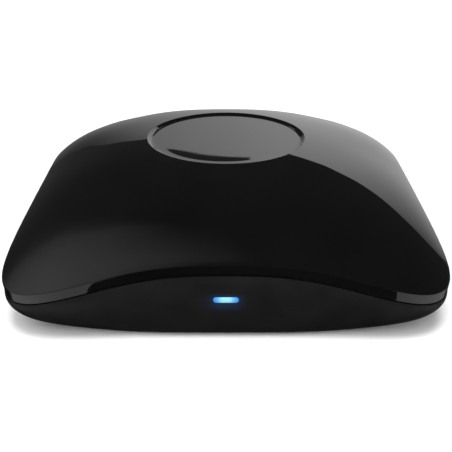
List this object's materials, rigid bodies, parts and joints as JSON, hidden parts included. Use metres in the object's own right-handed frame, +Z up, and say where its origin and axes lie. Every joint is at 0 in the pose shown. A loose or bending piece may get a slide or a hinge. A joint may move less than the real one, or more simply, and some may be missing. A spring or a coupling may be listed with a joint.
{
  "type": "smart infrared remote hub",
  "caption": "Square domed infrared remote-control hub with a shallow round dish in its gloss top, a lit slot in front, and a power socket and a reset button behind.",
  "frame": {"origin": "on the ground under the middle of the housing, at the bottom of the rubber feet", "axes": "+Z up, -Y towards the lit slot at the front, +X to the right seen from the front"},
  "size_m": [0.12, 0.12, 0.0362],
  "materials": {
    "gloss_shell": "polished gloss black",
    "satin_shell": "fine satin black",
    "lit_window": "clear window lit blue from behind",
    "led_white": "moulded diode with a blue glow",
    "board_green": "green solder mask",
    "dark_epoxy": "dark tinted epoxy",
    "tinned_wire": "tinned",
    "module_board": "black solder mask",
    "shield_can": "tinned sheet",
    "socket_steel": "plated sheet",
    "chip_black": "moulded epoxy",
    "contact_gold": "plated contacts",
    "button_black": "satin black",
    "plunger_black": "moulded",
    "capacitor_can": "drawn can",
    "ferrite": "dark ferrite",
    "resistor_ends": "chip resistors",
    "screw_steel": "zinc-plated",
    "foot_rubber": "matt black rubber"
  },
  "bodies": {
    "housing": {"top_shell": "gloss_shell", "lower_shell": "satin_shell", "light_pipe": "lit_window", "status_led": "led_white", "main_board": "board_green", "ir_emitter_1": "dark_epoxy", "ir_emitter_2": "dark_epoxy", "ir_emitter_3": "dark_epoxy", "ir_emitter_4": "dark_epoxy", "ir_emitter_5": "dark_epoxy", "ir_emitter_6": "dark_epoxy", "ir_emitter_7": "dark_epoxy", "ir_emitter_8": "dark_epoxy", "ir_emitter_top": "dark_epoxy", "emitter_leads": "tinned_wire", "ir_receiver": "dark_epoxy", "receiver_leads": "tinned_wire", "wifi_board": "module_board", "wifi_shield": "shield_can", "usb_shell": "socket_steel", "usb_tongue": "chip_black", "usb_contacts": "contact_gold", "switch_body": "chip_black", "capacitor_1": "capacitor_can", "capacitor_2": "capacitor_can", "capacitor_seats": "chip_black", "power_inductor": "ferrite", "voltage_regulator": "chip_black", "control_chip": "chip_black", "crystal": "shield_can", "driver_transistors": "chip_black", "chip_resistors": "resistor_ends", "case_screws": "screw_steel", "board_screws": "screw_steel", "foot_1": "foot_rubber", "foot_2": "foot_rubber", "foot_3": "foot_rubber", "foot_4": "foot_rubber"},
    "button": {"reset_button": "button_black", "switch_plunger": "plunger_black"}
  },
  "joints": [
    {"name": "reset_press", "type": "slide", "parent": "housing", "child": "button", "axis": [0, -1, 0], "range_m": [0, 0.0004], "stiffness_N_per_m": 400}
  ]
}
